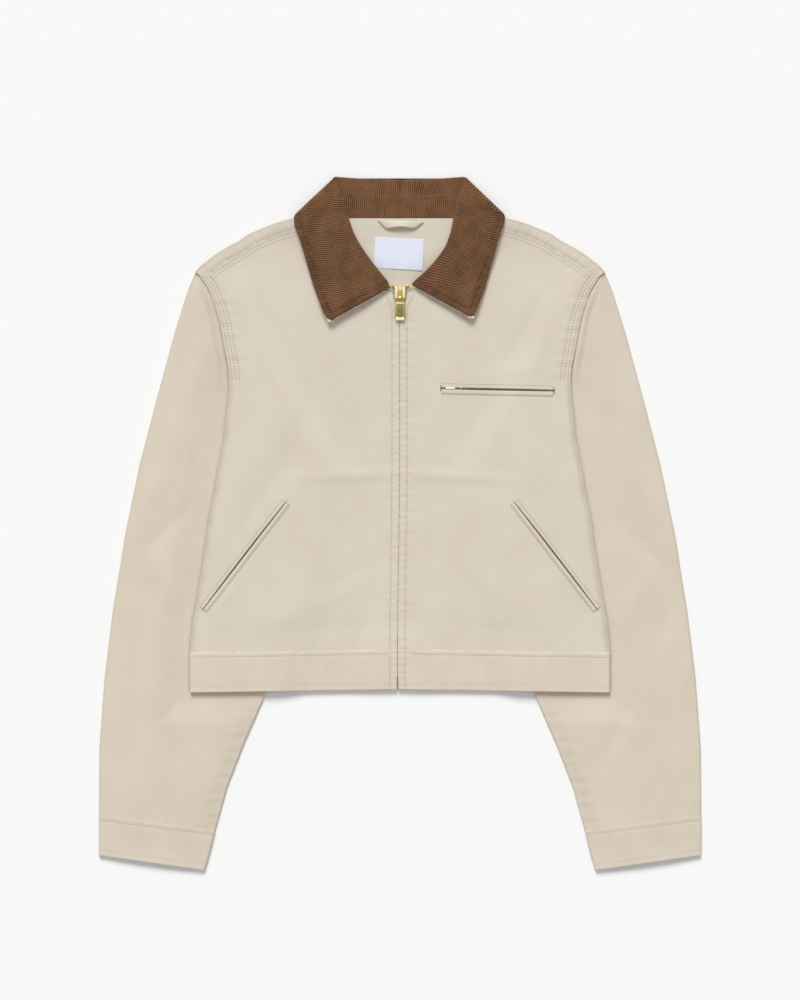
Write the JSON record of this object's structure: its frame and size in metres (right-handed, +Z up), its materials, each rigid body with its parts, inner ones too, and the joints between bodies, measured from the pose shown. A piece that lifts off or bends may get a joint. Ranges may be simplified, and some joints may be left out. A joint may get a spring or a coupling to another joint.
{
  "type": "chore jacket",
  "caption": "Cropped chore jacket in pale duck canvas with a brown corduroy collar, brass zip front, slanted hand pockets and zipped chest pocket, laid flat with the zip closed.",
  "frame": {"origin": "centre of the bounding box on the plane that the jacket lies on", "axes": "+Y from the hem towards the collar, +Z up from the surface through the back and then the fronts, +X to the wearer's left, as seen from above"},
  "size_m": [0.6336, 0.7288, 0.01],
  "materials": {
    "canvas_body": "brushed cotton duck canvas, pale beige",
    "canvas_sleeve": "brushed cotton duck canvas, pale beige",
    "corduroy": "brown fine-wale corduroy",
    "label": "woven satin, blank",
    "zip_tape": "woven polyester tape",
    "brass": "polished brass"
  },
  "bodies": {
    "jacket": {"back": "canvas_body", "front_left": "canvas_body", "front_right": "canvas_body", "sleeve_left": "canvas_sleeve", "sleeve_right": "canvas_sleeve", "cuff_left": "canvas_sleeve", "cuff_right": "canvas_sleeve", "hem_band": "canvas_body", "collar": "corduroy", "under_collar_left": "canvas_body", "under_collar_right": "canvas_body", "zip_tape_left": "zip_tape", "zip_tape_right": "zip_tape", "pocket_welt_outer_left": "canvas_body", "pocket_welt_inner_left": "canvas_body", "pocket_welt_outer_right": "canvas_body", "pocket_welt_inner_right": "canvas_body", "hanger_loop": "canvas_body", "label": "label", "chest_welt_upper": "canvas_body", "chest_welt_lower": "canvas_body", "chest_zip_tape": "zip_tape", "slider": "brass"},
    "pull": {"pull_tab": "brass"}
  },
  "joints": [
    {"name": "pull_hinge", "type": "hinge", "parent": "jacket", "child": "pull", "pos_m": [0, 0.2362, 0.0061], "axis": [-1, 0, 0], "range_deg": [0, 165]}
  ]
}
